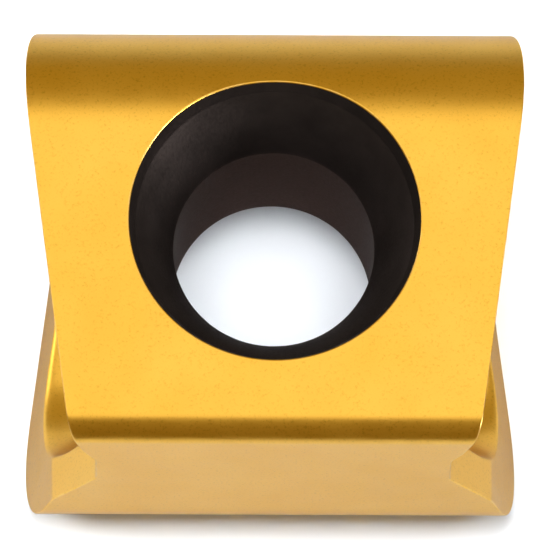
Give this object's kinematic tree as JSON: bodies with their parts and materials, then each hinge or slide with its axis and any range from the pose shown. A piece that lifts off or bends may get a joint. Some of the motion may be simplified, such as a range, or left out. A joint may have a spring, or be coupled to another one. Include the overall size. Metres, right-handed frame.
{
  "type": "indexable face milling insert",
  "caption": "On-edge carbide cutting insert with a tapered waist, two rounded noses, chip grooves on both rake faces and a through hole countersunk for a clamping screw.",
  "frame": {"origin": "centre of the base seat face, on the axis of the screw hole", "axes": "+Z along the screw hole, from the base seat to the top seat; X from one rake face to the other; Y along the length, with the large rounding of the top seat at +Y"},
  "size_m": [0.0136, 0.0122, 0.0111],
  "materials": {
    "coated_carbide": "satin gold hard coating on sintered carbide, fine blasted grain, dark uncoated screw hole"
  },
  "bodies": {
    "root": {"insert_body": "coated_carbide"}
  },
  "joints": []
}
